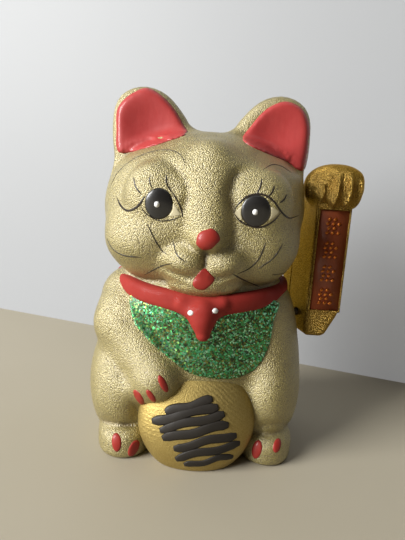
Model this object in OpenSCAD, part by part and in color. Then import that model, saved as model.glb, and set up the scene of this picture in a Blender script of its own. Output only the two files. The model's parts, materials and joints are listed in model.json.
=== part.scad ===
// Beckoning cat figurine: a hollow cast body with painted relief, and a plastic arm that
// swings on a battery-driven pendulum. Millimetres. +Z is up, the cat faces -Y, and the
// origin is the middle of the base on the surface that the figurine stands on.

/* [Body] */
// Width of the head
head_w = 115; // [113:1:117]
// Depth of the head, front to back
head_d = 92; // [88:1:94]
// Height of the widest part of the head above the table
head_z = 132; // [130:1:134]
// Width of the base, just above its rounded foot
base_w = 114; // [112:1:118]
// Depth of the base, front to back
base_d = 90; // [88:1:94]
// Wall thickness of the casting
wall = 3.5; // [3:0.5:4.5]
// Height of the collar's middle above the table
collar_z = 92; // [91:1:93]
// Thickness of the glitter coat on the bib
bib_t = 1.4; // [1:0.1:2]

/* [Swinging arm] */
// Width of the forearm
arm_w = 20; // [19:1:21]
// Depth of the forearm, front to back
arm_d = 40; // [38:1:41]
// Wall thickness of the arm mouldings
arm_wall = 1.4; // [1.2:0.1:2]
// Clear gap between the head and the forearm
arm_gap = 3; // [3:0.5:5]
// Height of the pivot pin above the table
pivot_z = 76; // [75:1:78]
// Radius of the pivot pin
pin_r = 2; // [1.8:0.1:2.2]
// Radial running clearance of the pin in its bearings
pin_clearance = 0.05; // [0.02:0.01:0.1]

/* [Base and drive] */
// Thickness of the base plate
plate_t = 3; // [2.5:0.5:3.5]
// Distance of the drive's centre plane from the middle of the cat
drive_x = 20; // [20:0.5:21]
// Distance of the battery's axis from the middle of the cat
battery_x = -10.5; // [-11:0.5:-10]
// Gap between the magnet and the coil
magnet_gap = 2; // [1.5:0.5:3]
// How far the weight is set back on its lever to balance the arm
balance_y = -4.5; // [-6:0.5:-3]

/* [Hidden] */

form_fn = 28;                    // facets round a cast form
small_fn = 16;                   // facets round a small form
cavity_fn = 20;                  // facets round the inside of the casting
ear_fn = 20;                     // facets round each ball of an ear
round_fn = 48;                   // facets round a machined or moulded part
eps = 0.01;
far = 150;                       // beyond the figurine on every side

gold = "#c8b36a";
bright_gold = "#c9952b";
red = "#c0272d";
green = "#1f8a4c";
black = "#1a1918";
steel = "#b9bcc0";

base_y = 5;                      // middle of the base, front to back
rebate = [89, 71];               // step in the foot that takes the base plate
opening = [82, 64];              // hole above the step, for the drive
collar_tilt = 5.7;
coin_at = [1, -39.5, 24];
coin_lean = -14;
bell_at = [0, -45, 80];

arm_x = head_w / 2 + arm_gap + arm_w / 2;       // centre plane of the swinging arm
paw_x = arm_x + 2.0;
arm_y = 6;                       // middle of the forearm, front to back
arm_edge = 3;                    // rounding of the forearm's edges
arm_split_y = 12;                // parting plane of the two arm mouldings
arm_flare = 5;                   // how far the lower back corner leans towards the body
forearm_z = [68, 142];           // centres of the forearm's rounded ends
chamfer = [7, 12];               // cut off the forearm's lower outer corner, across and up
panel_z = [81, 138];             // bottom and top of the red panel
panel_w = arm_w - 3.6;
panel_t = 1;
hub_gap = 0.05;                  // keeps the hub clear of the moulding's facets
hub_end = arm_x + arm_w / 2 - 6; // outer end of the hub, inside the cut-off corner

coil_z = [8, 17];                // underside and top of the coil bobbin
coil_r = 8;
magnet_r = 7;
magnet_z = [coil_z[1] + magnet_gap, coil_z[1] + magnet_gap + 8];
lever_t = 4;
post_gap = 19;                   // clear width between the two posts
post_t = 3;
post_out = post_gap / 2 + post_t;
boss_t = 1.5;                    // how far each bearing stands out of its post
foot_t = 2;
board_z = 5.5;
board_t = 1.6;
board_top = board_z + board_t;
frame_screw_x = post_out + 3;
board_screw_y = [-14, 25];

cell_r = 7.2;
cell_l = 48;
nub_l = 1.5;
door_t = 1.4;
door_gap = 0.3;
door_low = 0.2;                  // the door lies this far inside the underside
cell_z = door_low + door_t + 0.6 + cell_r;
well = [16, 56];
well_wall = 1.6;
well_top = cell_z + cell_r + 0.6;
door = [17.4, 58];
lug_r = 0.5;
door_axis_y = base_y + door[1] / 2 - door_t / 2;
door_axis_z = door_low + door_t / 2;
contact_t = 0.5;
nub_y = base_y - well[1] / 2 + contact_t;
spring_y = nub_y + nub_l + cell_l;
switch_x = -31;
switch_travel = 3;
switch_rest_y = base_y - switch_travel / 2;
lead_r = 0.6;

// ------------------------------------------------------------ building blocks

module both_sides() {
  children();
  mirror([1, 0, 0]) children();
}

// An ellipsoid with its centre at c and half-sizes r, made larger all round by grow.
module blob(c, r, grow = 0, fn = form_fn)
  hull() translate(c) scale([r[0] + grow, r[1] + grow, r[2] + grow]) sphere(r = 1, $fn = fn);

// A limb: the hull of two balls.
module limb(a, ra, b, rb, grow = 0, fn = form_fn)
  hull() {
    translate(a) sphere(r = ra + grow, $fn = fn);
    translate(b) sphere(r = rb + grow, $fn = fn);
  }

// A box given by its low and high corners.
module box(a, b)
  translate(a) cube(b - a);

// A cylinder along X from x0 to x1, on the pivot's axis.
module on_pivot(x0, x1, r)
  translate([x0, 0, pivot_z]) rotate([0, 90, 0]) cylinder(r = r, h = x1 - x0, $fn = round_fn);

// Upright cylinder from z0 to z1 at p.
module post(p, z0, z1, r)
  translate([p[0], p[1], z0]) cylinder(r = r, h = z1 - z0, $fn = round_fn);

// A squarish oval of full sizes s, from z0 to z1.
function squircle(s, n = 48) = [
  for (i = [0 : n - 1])
    let (a = 360 * i / n, c = cos(a), d = sin(a))
    [s[0] / 2 * sign(c) * pow(abs(c), 0.77), s[1] / 2 * sign(d) * pow(abs(d), 0.77)]
];
module oval(s, z0, z1)
  translate([0, base_y, z0]) linear_extrude(height = z1 - z0) polygon(squircle(s));

// A round wire of radius r along the points p, with 8 sides.
function unit(v) = v / norm(v);
function along(p, i) = unit(p[min(i + 1, len(p) - 1)] - p[max(i - 1, 0)]);
function wire_ring(p, i, r, up) =
  let (t = along(p, i), u = unit(cross(t, up)), v = cross(t, u))
  [for (k = [0 : 7]) p[i] + r * (cos(45 * k) * u + sin(45 * k) * v)];
module wire(p, r, up) {
  n = len(p);
  points = [for (i = [0 : n - 1]) each wire_ring(p, i, r, up)];
  sides = [
    for (i = [0 : n - 2])
      for (k = [0 : 7])
        [8 * i + k, 8 * i + (k + 1) % 8, 8 * i + 8 + (k + 1) % 8, 8 * i + 8 + k]
  ];
  first = [[for (k = [7 : -1 : 0]) k]];
  last = [[for (k = [0 : 7]) 8 * (n - 1) + k]];
  polyhedron(points = points, faces = concat(first, sides, last), convexity = 4);
}
// Points on a smooth curve from a to d, pulled towards b and c.
function curve(a, b, c, d, n = 14) = [
  for (i = [0 : n])
    let (t = i / n, s = 1 - t)
    s * s * s * a + 3 * s * s * t * b + 3 * s * t * t * c + t * t * t * d
];

// ---------------------------------------------------------------- cast forms

module head_form(grow = 0, fn = form_fn)
  hull() {
    blob([0, -1, head_z], [head_w / 2, head_d / 2, 39], grow, fn);
    blob([0, 1, head_z + 18], [head_w / 2 - 5, head_d / 2 - 5, 26], grow, fn);
    both_sides() blob([30, -21, head_z - 14], [22, 21, 19], grow, fn);
  }

// Whisker pads, the bridge of the nose, chin and jowls, which stand proud of the face.
module muzzle_form() {
  hull() both_sides() blob([9, -38, head_z - 24], [12, 9, 9]);
  hull() {
    blob([0, -33, head_z + 24], [8, 8, 8]);
    blob([0, -41, head_z - 11], [9, 8, 8]);
  }
  hull() {
    blob([0, -36, head_z - 34], [17, 9.5, 7]);
    blob([0, -34, head_z - 24], [18, 9, 7]);
  }
  blob([0, -7, head_z - 26], [47, 35, 15]);
}

// The cat's left ear. Its tip is the highest point of the figurine.
module ear_form(grow = 0)
  hull() {
    blob([22, 0, 160], [9, 8, 8], grow, ear_fn);
    blob([17, 0, 176], [6, 7, 5], grow, ear_fn);
    blob([26, 1, 189], [6, 6, 6], grow, ear_fn);
    blob([36, 2, 190], [10, 6, 10], grow, ear_fn);
    blob([46.5, 2, 188], [7, 6, 8], grow, ear_fn);
    blob([49, 2, 179], [7, 6, 9], grow, ear_fn);
    blob([47, 0, 156], [9, 9, 14], grow, ear_fn);
  }

// The foot is turned in below the widest part of the base.
module torso_form(grow = 0, fn = form_fn)
  hull() {
    translate([0, base_y, 0]) scale([base_w / 2 - 5 + grow, base_d / 2 - 4 + grow, 1])
      cylinder(r = 1, h = 8, $fn = 2 * fn);
    blob([0, base_y, 22], [base_w / 2, base_d / 2, 20], grow, fn);
    blob([0, 2, 52], [52, 44, 62], grow, fn);
    blob([0, 0, 84], [49, 42, 24], grow, fn);
  }

module neck_form(grow = 0, fn = form_fn)
  blob([0, 1, 98], [46.5, 40, 20], grow, fn);

module haunch_form(grow = 0, fn = form_fn)
  both_sides() blob([base_w / 2 - 17, -6, 29], [22.5, 35, 39], grow, fn);

module shoulder_form(grow = 0, fn = form_fn)
  blob([39.5, -8, 70], [20, 25, 25], grow, fn);

module feet_form()
  both_sides() hull() for (x = [31, 45], y = [-35, -18]) blob([x, y, 7.5], [8.2, 8.3, 8.5]);

// The cat's right foreleg comes down beside the bib and rests on the coin.
module foreleg_form(grow = 0, fn = form_fn) {
  limb([-41, -7, 78], 20.5, [-44.5, -20, 61], 17, grow, fn);
  limb([-44.5, -20, 61], 17, [-22, -37, 45], 13.5, grow, fn);
  limb([-22, -37, 45], 13.5, [-30, -34, 39.5], 11.5, grow, fn);
}

module tail_form()
  limb([4, 43, 11], 7, [28, 39, 16], 8);

// The whole outside of the casting, before it is hollowed.
module body_form()
  difference() {
    union() {
      head_form();
      muzzle_form();
      both_sides() ear_form();
      torso_form();
      neck_form();
      haunch_form();
      shoulder_form();
      feet_form();
      foreleg_form();
      tail_form();
    }
    below_floor();
  }

module below_floor()
  box([-far, -far, -far], [far, far, 0]);

// The hollow that slip casting leaves, joined through the neck.
module cavity_form()
  intersection() {
    union() {
      head_form(-wall, cavity_fn);
      torso_form(-wall, cavity_fn);
      neck_form(-wall, cavity_fn);
      haunch_form(-wall, cavity_fn);
      shoulder_form(-wall, cavity_fn);
      foreleg_form(-wall, cavity_fn);
    }
    box([-far, -far, plate_t + wall], [far, far, 2 * far]);
  }

module body_shell()
  color(gold) difference() {
    body_form();
    cavity_form();
    oval(rebate, -1, plate_t);
    oval(opening, -1, plate_t + wall + 1);
    on_pivot(base_w / 2 - 17, base_w / 2 + 10, 9);
  }

// What is cast or coated on the outside is cut to lie on it.
module on_body()
  difference() {
    children();
    body_form();
  }

module ear_linings()
  color(red) on_body() intersection() {
    both_sides() ear_form(0.5);
    both_sides() hull() {
      translate([36, -4, 187]) rotate([90, 0, 0]) cylinder(r = 7, h = 20, $fn = form_fn);
      translate([46, -4, 166]) rotate([90, 0, 0]) cylinder(r = 2, h = 20, $fn = form_fn);
      translate([23, -4, 174]) rotate([90, 0, 0]) cylinder(r = 2, h = 20, $fn = form_fn);
    }
  }

module eyes()
  color(black) on_body() both_sides() blob([24.5, -36, head_z + 4], [7.5, 8, 8]);

module nose_and_mouth()
  color(red) on_body() {
    blob([0, -48.8, head_z - 12], [5, 4.5, 4.5], 0, small_fn);
    blob([0, -43, head_z - 31], [5, 5, 4.5], 0, small_fn);
  }

module claws()
  color(red) on_body() {
    for (c = [[-41, 7.5], [-31.5, 6.5], [35, 8.5], [45.5, 9.5]])
      blob([c[0], -41.5, c[1]], [2.6, 3.2, 5], 0, small_fn);
    for (c = [[-17.5, -49, 43], [-23.5, -45.8, 35.5], [-30, -43.5, 34.5]])
      blob(c, [2, 2.8, 4.4], 0, small_fn);
  }

// The moulded band round the neck.
module collar_form()
  translate([0, 0, collar_z]) rotate([collar_tilt, 0, 0]) scale([48 / 41, 1, 1.2])
    rotate_extrude($fn = 2 * form_fn) translate([41, 0]) circle(r = 5, $fn = 16);

module collar()
  color(red) on_body() collar_form();

module bell_form()
  blob(bell_at, [7, 6, 9]);

module bell()
  color(red) on_body() difference() {
    bell_form();
    collar_form();
  }

// Glitter stuck to the chest below the collar.
module bib()
  color(green) on_body() difference() {
    intersection() {
      torso_form(bib_t);
      translate([0, 0, 90]) rotate([90, 0, 0]) scale([37, 38, 1])
        cylinder(r = 1, h = 80, $fn = round_fn);
      box([-far, -far, 0], [far, far, collar_z - 2]);
    }
    collar_form();
    bell_form();
    coin_form();
  }

module coin_form()
  hull() translate(coin_at) rotate([coin_lean, 0, 0]) {
    scale([31.5, 7, 30]) sphere(r = 1, $fn = form_fn);
    scale([27.5, 11.5, 26]) sphere(r = 1, $fn = form_fn);
  }

module coin()
  color(bright_gold) on_body() difference() {
    coin_form();
    below_floor();
  }

// ---------------------------------------------------------- base and battery

frame_screw_at = [[drive_x - frame_screw_x, 0], [drive_x + frame_screw_x, 0]];
board_screw_at = [for (y = board_screw_y) [drive_x, y]];

module door_lugs(r)
  translate([battery_x - door[0] / 2 - 1.5, door_axis_y, door_axis_z]) rotate([0, 90, 0])
    cylinder(r = r, h = door[0] + 3, $fn = round_fn);

module well_block(grow, z0, z1)
  box([battery_x - well[0] / 2 - grow, base_y - well[1] / 2 - grow, z0],
      [battery_x + well[0] / 2 + grow, base_y + well[1] / 2 + grow, z1]);

module base_plate()
  color(black) difference() {
    union() {
      oval(rebate - [1, 1], 0, plate_t);
      well_block(well_wall, plate_t - eps, well_top + well_wall);
      for (p = board_screw_at) post(p, plate_t - eps, board_z, 2.6);
    }
    well_block(0, door_low, well_top);
    // wire slots through the well's roof at its two ends
    for (y = [base_y - well[1] / 2, base_y + well[1] / 2 - 5])
      box([battery_x - 3, y, well_top - 1], [battery_x + 3, y + 5, well_top + 4]);
    box([battery_x - door[0] / 2 - door_gap, base_y - door[1] / 2 - door_gap, -1],
        [battery_x + door[0] / 2 + door_gap, base_y + door[1] / 2 + door_gap,
         door_low + door_t + door_gap]);
    door_lugs(lug_r + pin_clearance);
    box([switch_x - 3, base_y - 4.5, -1], [switch_x + 3, base_y + 4.5, 1.4]);
    box([switch_x - 1.3, base_y - 3, 0], [switch_x + 1.3, base_y + 3, plate_t + 1]);
    for (p = concat(frame_screw_at, board_screw_at)) post(p, 1, board_z + 1, 1);
  }

// The door turns down and out on two lugs at its rear edge.
module battery_door()
  color(black) difference() {
    union() {
      box([battery_x - door[0] / 2, base_y - door[1] / 2, door_low],
          [battery_x + door[0] / 2, door_axis_y, door_low + door_t]);
      intersection() {
        door_lugs(door_t / 2);
        box([battery_x - door[0] / 2, 0, 0], [battery_x + door[0] / 2, far, plate_t]);
      }
      door_lugs(lug_r);
    }
    for (i = [0 : 4])
      box([battery_x - 4, base_y - door[1] / 2 + 3 + 1.6 * i, -1],
          [battery_x + 4, base_y - door[1] / 2 + 3.8 + 1.6 * i, door_low + 0.4]);
  }

module battery_cell()
  color("#4a6b8a") translate([battery_x, nub_y, cell_z]) rotate([-90, 0, 0]) {
    cylinder(r = 2.7, h = nub_l + eps, $fn = round_fn);
    translate([0, 0, nub_l]) cylinder(r = cell_r, h = cell_l, $fn = round_fn);
  }

// A coil spring that opens out from the cell to the end of the well.
module contact_spring() {
  turns = 3.5;
  steps = 56;
  wire_r = 0.4;
  travel = base_y + well[1] / 2 - spring_y - 2 * wire_r;
  path = [
    for (i = [0 : steps])
      let (t = i / steps, a = 360 * turns * t, r = 2.5 + 3 * t)
      [battery_x + r * cos(a), spring_y + wire_r + travel * t, cell_z + r * sin(a)]
  ];
  color(steel) wire(path, wire_r, [0, 1, 0]);
}

module contact_plate()
  color(steel) box([battery_x - 5, base_y - well[1] / 2, cell_z - 5],
                   [battery_x + 5, base_y - well[1] / 2 + contact_t, cell_z + 7]);

module lead_red()
  color("#b02020") wire(
    curve([battery_x, base_y - well[1] / 2 + contact_t + lead_r, cell_z + 6],
          [battery_x, base_y - well[1] / 2 + 2, well_top + 16],
          [drive_x - 6, board_screw_y[0] - 4, board_top + 22],
          [drive_x - 6, board_screw_y[0] - 3, board_top + 0.1]), lead_r, [0, 1, 0.1]);

module lead_black()
  color("#26262a") wire(
    curve([battery_x, base_y + well[1] / 2 - 1.5, cell_z + 6.8],
          [battery_x, base_y + well[1] / 2 - 3, well_top + 16],
          [drive_x - 6, board_screw_y[1] + 2, board_top + 22],
          [drive_x - 6, board_screw_y[1] + 2, board_top + 0.1]), lead_r, [0, 1, 0.1]);

module switch_body()
  color(steel) difference() {
    box([switch_x - 3.5, base_y - 6, plate_t], [switch_x + 3.5, base_y + 6, plate_t + 5]);
    box([switch_x - 1.3, base_y - 3, plate_t - 1], [switch_x + 1.3, base_y + 3, plate_t + 3]);
  }

module switch_knob()
  color(black) {
    box([switch_x - 2.5, switch_rest_y - 2.4, 0.3], [switch_x + 2.5, switch_rest_y + 2.4, 1.2]);
    box([switch_x - 1, switch_rest_y - 1.2, 1.2 - eps], [switch_x + 1, switch_rest_y + 1.2, plate_t + 2]);
  }

// --------------------------------------------------------------- drive unit

// One upright with its bearing. The other one is its mirror image.
module frame_side() {
  hull() {
    box([post_gap / 2, -7, plate_t], [post_out, 7, plate_t + foot_t]);
    translate([post_gap / 2, 0, pivot_z]) rotate([0, 90, 0])
      cylinder(r = 5, h = post_t, $fn = round_fn);
  }
  translate([post_out - eps, 0, pivot_z]) rotate([0, 90, 0])
    cylinder(r = 4, h = boss_t + eps, $fn = round_fn);
  box([post_out - eps, -5, plate_t], [post_out + 5.5, 5, plate_t + foot_t]);
  box([-eps, -5, plate_t], [post_gap / 2 + eps, 5, plate_t + foot_t]);
  box([-eps, -3, pivot_z + 7], [post_out, 3, pivot_z + 10]);
  box([post_gap / 2, -3, pivot_z], [post_out, 3, pivot_z + 10]);
}

module pivot_frame()
  color("#e8e4d8") difference() {
    translate([drive_x, 0, 0]) both_sides() frame_side();
    on_pivot(drive_x - post_out - 5, drive_x + post_out + 5, pin_r + pin_clearance);
    for (p = frame_screw_at) post(p, 0, 10, 1.2);
  }

// A pan-head screw with the underside of its head at height z.
module screw(p, z, shank) {
  post(p, z - shank, z + eps, 1);
  post(p, z, z + 1.3, 1.9);
}

module frame_screws()
  color(steel) for (p = frame_screw_at) screw(p, plate_t + foot_t, 3.5);

module circuit_board()
  color("#2e6b3a") difference() {
    box([drive_x - 8.5, board_screw_y[0] - 5, board_z],
        [drive_x + 8.5, board_screw_y[1] + 4, board_top]);
    for (p = board_screw_at) post(p, board_z - 1, board_top + 1, 1.2);
  }

module board_screws()
  color(steel) for (p = board_screw_at) screw(p, board_top, 4);

module coil_bobbin()
  color("#e8e4d8") difference() {
    union() {
      post([drive_x, 0], board_top, coil_z[0], coil_r);
      post([drive_x, 0], board_top, coil_z[1], 3.5);
      post([drive_x, 0], coil_z[1] - 0.9, coil_z[1], coil_r);
    }
    post([drive_x, 0], board_top - 1, coil_z[1] + 1, 2);
  }

module drive_coil()
  color("#a4562a") difference() {
    post([drive_x, 0], coil_z[0], coil_z[1] - 0.9, coil_r - 0.8);
    post([drive_x, 0], coil_z[0] - 1, coil_z[1], 3.5);
  }

module transistor()
  color(black) {
    intersection() {
      post([drive_x - 3, 16.5], board_top + 1.5, board_top + 6.1, 2.3);
      box([drive_x - 8, 15, 0], [drive_x + 2, 25, 20]);
    }
    for (i = [-1 : 1]) post([drive_x - 3 + 1.27 * i, 16.5], board_top, board_top + 1.6, 0.25);
  }

module capacitor()
  color("#20304a") post([drive_x + 3.5, 14], board_top, board_top + 6.5, 2.5);

// Two resistors, each on its own bent leads.
module resistors()
  color("#c9a878") for (x = [drive_x - 5.6, drive_x + 5.6]) {
    translate([x, board_screw_y[0] - 2, board_top + 1.8]) rotate([-90, 0, 0])
      cylinder(r = 0.9, h = 4, $fn = 24);
    for (y = [-1.5, 1.5]) post([x, board_screw_y[0] + y], board_top, board_top + 1.8, 0.3);
  }

// --------------------------------------------------------------- swinging arm

// The outside of the arm, made larger all round by grow.
module arm_form(grow = 0, fn = 24) {
  ex = arm_w / 2 - arm_edge;
  ey = arm_d / 2 - arm_edge;
  hull() for (y = [-ey, ey]) {
    translate([arm_x - ex - (y > 0 ? arm_flare : 0), arm_y + y, forearm_z[0]])
      sphere(r = arm_edge + grow, $fn = fn);
    translate([arm_x + ex - chamfer[0], arm_y + y, forearm_z[0]]) sphere(r = arm_edge + grow, $fn = fn);
    translate([arm_x + ex, arm_y + y, forearm_z[0] + chamfer[1]]) sphere(r = arm_edge + grow, $fn = fn);
    for (x = [-ex, ex])
      translate([arm_x + x, arm_y + y, forearm_z[1]]) sphere(r = arm_edge + grow, $fn = fn);
  }
  hull() translate([paw_x, -3, 150])
    scale([16 + grow, 19.5 + grow, 13.5 + grow]) sphere(r = 1, $fn = form_fn);
}

// Finger ridges over the front and top of the paw.
module arm_fingers()
  for (i = [-1.5 : 1.5]) blob([paw_x + 7 * i, -9, 149], [4.4, 13.8, 13 - abs(i)], 0, small_fn);

module arm_inside()
  arm_form(-arm_wall);

// Everything in front of the parting plane.
module arm_front()
  box([0, -far, 0], [far, arm_split_y, 2 * far]);

module panel_form(grow)
  box([arm_x - panel_w / 2 - grow, arm_y - arm_d / 2 - 1, panel_z[0] - grow],
      [arm_x + panel_w / 2 + grow, arm_y - arm_d / 2 + panel_t, panel_z[1] + grow]);

module arm_front_shell()
  color(bright_gold) difference() {
    intersection() {
      union() {
        arm_form();
        arm_fingers();
      }
      arm_front();
    }
    arm_inside();
    panel_form(0);
    on_pivot(arm_x - arm_w, arm_x, pin_r + 0.4);
  }

module arm_back_shell()
  color(bright_gold) difference() {
    union() {
      arm_form();
      arm_fingers();
    }
    arm_front();
    arm_inside();
  }

// The red panel, with a raised pattern of lozenges between bars.
module arm_panel() {
  front = arm_y - arm_d / 2;
  middle = (panel_z[0] + panel_z[1]) / 2;
  color(red) {
    intersection() {
      panel_form(0);
      box([0, front + 0.4, 0], [far, far, 2 * far]);
    }
    for (i = [-2 : 2])
      translate([arm_x, front + 0.5, middle + 10.5 * i]) rotate([90, 45, 0])
        translate([-2.5, -2.5, 0]) cube([5, 5, 0.5]);
    for (i = [-1.5 : 1.5])
      box([arm_x - 4, front, middle + 10.5 * i - 0.5], [arm_x + 4, front + 0.5, middle + 10.5 * i + 0.5]);
  }
}

module arm_hub() {
  inner = arm_x - arm_w / 2 + arm_wall + hub_gap;
  color("#3a3a3c") difference() {
    union() {
      on_pivot(inner, inner + 1.6, 6);
      on_pivot(inner, hub_end, 3.4);
    }
    on_pivot(inner - 1, hub_end + 1, pin_r);
  }
}

clip_x = drive_x - post_out - boss_t - 1.4;

module pivot_pin()
  color(steel) on_pivot(clip_x - 1.5, hub_end, pin_r);

module pin_clip()
  color(steel) difference() {
    on_pivot(clip_x, clip_x + 1, 4);
    on_pivot(clip_x - 1, clip_x + 2, pin_r);
  }

// The lever hangs from the pin and carries the magnet over the coil.
module swing_lever()
  color("#e8e4d8") difference() {
    union() {
      on_pivot(drive_x - post_gap / 2 + 0.5, drive_x + post_gap / 2 - 0.5, 5);
      box([drive_x - lever_t / 2, -4, magnet_z[1]], [drive_x + lever_t / 2, 4, pivot_z]);
      post([drive_x, 0], magnet_z[1], magnet_z[1] + 1.5, magnet_r);
    }
    on_pivot(drive_x - post_gap, drive_x + post_gap, pin_r);
  }

module balance_weight()
  color(steel) difference() {
    box([drive_x - 7, -6 + balance_y, magnet_z[1] + 3], [drive_x + 7, 6 + balance_y, magnet_z[1] + 15]);
    box([drive_x - lever_t / 2, -4, 0], [drive_x + lever_t / 2, 4, pivot_z]);
  }

module pendulum_magnet()
  color("#6d7075") post([drive_x, 0], magnet_z[0], magnet_z[1], magnet_r);

body_shell();
ear_linings();
eyes();
nose_and_mouth();
claws();
collar();
bell();
bib();
coin();
base_plate();
pivot_frame();
frame_screws();
circuit_board();
board_screws();
coil_bobbin();
drive_coil();
transistor();
capacitor();
resistors();
battery_cell();
contact_spring();
contact_plate();
lead_red();
lead_black();
switch_body();
switch_knob();
battery_door();
arm_front_shell();
arm_back_shell();
arm_panel();
arm_hub();
pivot_pin();
pin_clip();
swing_lever();
balance_weight();
pendulum_magnet();
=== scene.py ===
"""Beckoning cat figurine. The figure is sculpted in millimetres as a smooth distance field, skinned
with a fine mesh, and painted with thin closed strokes and patches laid on its surface. It faces -Y."""
import json
import math

import bpy
import numpy as np
from mathutils import Matrix, Vector
from mathutils.geometry import delaunay_2d_cdt


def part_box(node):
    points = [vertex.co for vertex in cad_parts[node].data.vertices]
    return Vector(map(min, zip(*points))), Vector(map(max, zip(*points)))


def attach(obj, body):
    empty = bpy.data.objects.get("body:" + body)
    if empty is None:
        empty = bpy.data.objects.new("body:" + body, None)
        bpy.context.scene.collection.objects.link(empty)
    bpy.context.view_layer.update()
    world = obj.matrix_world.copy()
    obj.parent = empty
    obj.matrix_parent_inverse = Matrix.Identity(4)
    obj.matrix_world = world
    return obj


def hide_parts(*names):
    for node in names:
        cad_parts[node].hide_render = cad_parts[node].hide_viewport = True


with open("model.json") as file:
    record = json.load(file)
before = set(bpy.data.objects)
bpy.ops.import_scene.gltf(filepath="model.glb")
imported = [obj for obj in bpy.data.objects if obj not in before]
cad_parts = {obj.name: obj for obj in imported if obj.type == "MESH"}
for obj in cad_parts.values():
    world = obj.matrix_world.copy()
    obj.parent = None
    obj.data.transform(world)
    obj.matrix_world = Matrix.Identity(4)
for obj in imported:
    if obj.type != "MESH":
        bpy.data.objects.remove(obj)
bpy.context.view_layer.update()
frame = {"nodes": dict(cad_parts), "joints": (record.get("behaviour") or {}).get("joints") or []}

MM = 0.001
WALL = 3.5                # thickness of the casting
FLOOR = 0.0

# The figurine is seen from a little to its right. Painted marks are placed by x and z on an upright
# plane that faces the viewer, and land where the viewer's line of sight meets the surface.
VIEW_TURN = math.radians(-1.3)
VIEW_SHIFT = np.array((1.2, 0.0, 0.0))
EYE_POINT = np.array((-1.3, -252.0, 142.0))
MARK_PLANE = -40.0
LOOKING_DOWN = 10         # degrees
ROLL = 3.8                # degrees
LENS = 28.67              # on a sensor 36 mm high


def from_view(p):
    """Points of the viewer's frame in the figurine's frame."""
    c, s = math.cos(VIEW_TURN), math.sin(VIEW_TURN)
    x, y, z = (np.asarray(p, float) + VIEW_SHIFT).T
    return np.stack([c * x - s * y, s * x + c * y, z]).T


def seen_flat(p):
    """Where a point shows on the mark plane: its x and z there."""
    c, s = math.cos(VIEW_TURN), math.sin(VIEW_TURN)
    x = c * p[0] + s * p[1] - VIEW_SHIFT[0]
    y = c * p[1] - s * p[0]
    t = (MARK_PLANE - EYE_POINT[1]) / (y - EYE_POINT[1])
    return EYE_POINT[0] + (x - EYE_POINT[0]) * t, EYE_POINT[2] + (p[2] - EYE_POINT[2]) * t


def node_box(name):
    low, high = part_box(name)
    return np.array(low) / MM, np.array(high) / MM


# ------------------------------------------------------------------- distance fields

def ball(p, centre, radii):
    """Distance to an ellipsoid, exact near its surface."""
    q = [(p[i] - centre[i]) / radii[i] for i in range(3)]
    near = np.sqrt(q[0] ** 2 + q[1] ** 2 + q[2] ** 2)
    steep = np.sqrt((q[0] / radii[0]) ** 2 + (q[1] / radii[1]) ** 2 + (q[2] / radii[2]) ** 2)
    return near * (near - 1) / (steep + 1e-6)


def limb(p, a, b, ra, rb):
    """Distance to a rounded cone from a to b."""
    d = [b[i] - a[i] for i in range(3)]
    t = sum((p[i] - a[i]) * d[i] for i in range(3)) / sum(v * v for v in d)
    t = np.clip(t, 0, 1)
    off = [p[i] - a[i] - t * d[i] for i in range(3)]
    return np.sqrt(off[0] ** 2 + off[1] ** 2 + off[2] ** 2) - (ra + (rb - ra) * t)


def join(a, b, soft):
    """Union with a fillet of about that size."""
    h = np.clip(0.5 + 0.5 * (b - a) / soft, 0, 1)
    return b * (1 - h) + a * h - soft * h * (1 - h)


def both(a, b, soft):
    """Intersection with a rounded edge."""
    return -join(-a, -b, soft)


def cut(a, b, soft):
    """What is left of a when b is taken out of it."""
    return -join(-a, b, soft)


def leaning(p, centre, degrees):
    """p in the axes of a piece that leans about a crosswise line through its centre."""
    x, y, z = (p[i] - centre[i] for i in range(3))
    c, s = math.cos(math.radians(degrees)), math.sin(math.radians(degrees))
    return x, c * y + s * z, -s * y + c * z


def column(p, middle, half, power):
    """Distance to an upright column with a rounded outline. middle and half hold x and y."""
    r = sum((np.abs(p[i] - middle[i]) / half[i]) ** power for i in range(2)) ** (1 / power)
    return (r - 1) * min(half)


def outline_distance(x, z, points):
    """Signed distance in a plane to a closed outline, negative inside."""
    pts = np.asarray(points, np.float32)
    best = np.full(np.shape(x), 1e9, np.float32)
    inside = np.zeros(np.shape(x), bool)
    for a, b in zip(pts, np.roll(pts, -1, axis=0)):
        e = b - a
        t = np.clip(((x - a[0]) * e[0] + (z - a[1]) * e[1]) / (e @ e), 0, 1)
        best = np.minimum(best, (x - a[0] - t * e[0]) ** 2 + (z - a[1] - t * e[1]) ** 2)
        crosses = (a[1] > z) != (b[1] > z)
        inside ^= crosses & (x < e[0] * (z - a[1]) / (e[1] + 1e-9) + a[0])
    return np.where(inside, -1, 1) * np.sqrt(best)


def spline(points, closed=False, gap=0.6):
    """A smooth curve through the points, with samples about gap apart."""
    pts = [np.asarray(q, float) for q in points]
    n = len(pts)
    out = []
    for i in range(n if closed else n - 1):
        p0 = pts[(i - 1) % n] if closed or i else 2 * pts[0] - pts[1]
        p1, p2 = pts[i], pts[(i + 1) % n]
        p3 = pts[(i + 2) % n] if closed or i + 2 < n else 2 * pts[-1] - pts[-2]
        steps = max(2, int(np.linalg.norm(p2 - p1) / gap))
        for k in range(steps):
            t = k / steps
            out.append(0.5 * (2 * p1 + (p2 - p0) * t + (2 * p0 - 5 * p1 + 4 * p2 - p3) * t * t
                              + (3 * p1 - p0 - 3 * p2 + p3) * t ** 3))
    if not closed:
        out.append(pts[-1])
    return np.array(out)


# ------------------------------------------------------------------------ the figure

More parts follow.
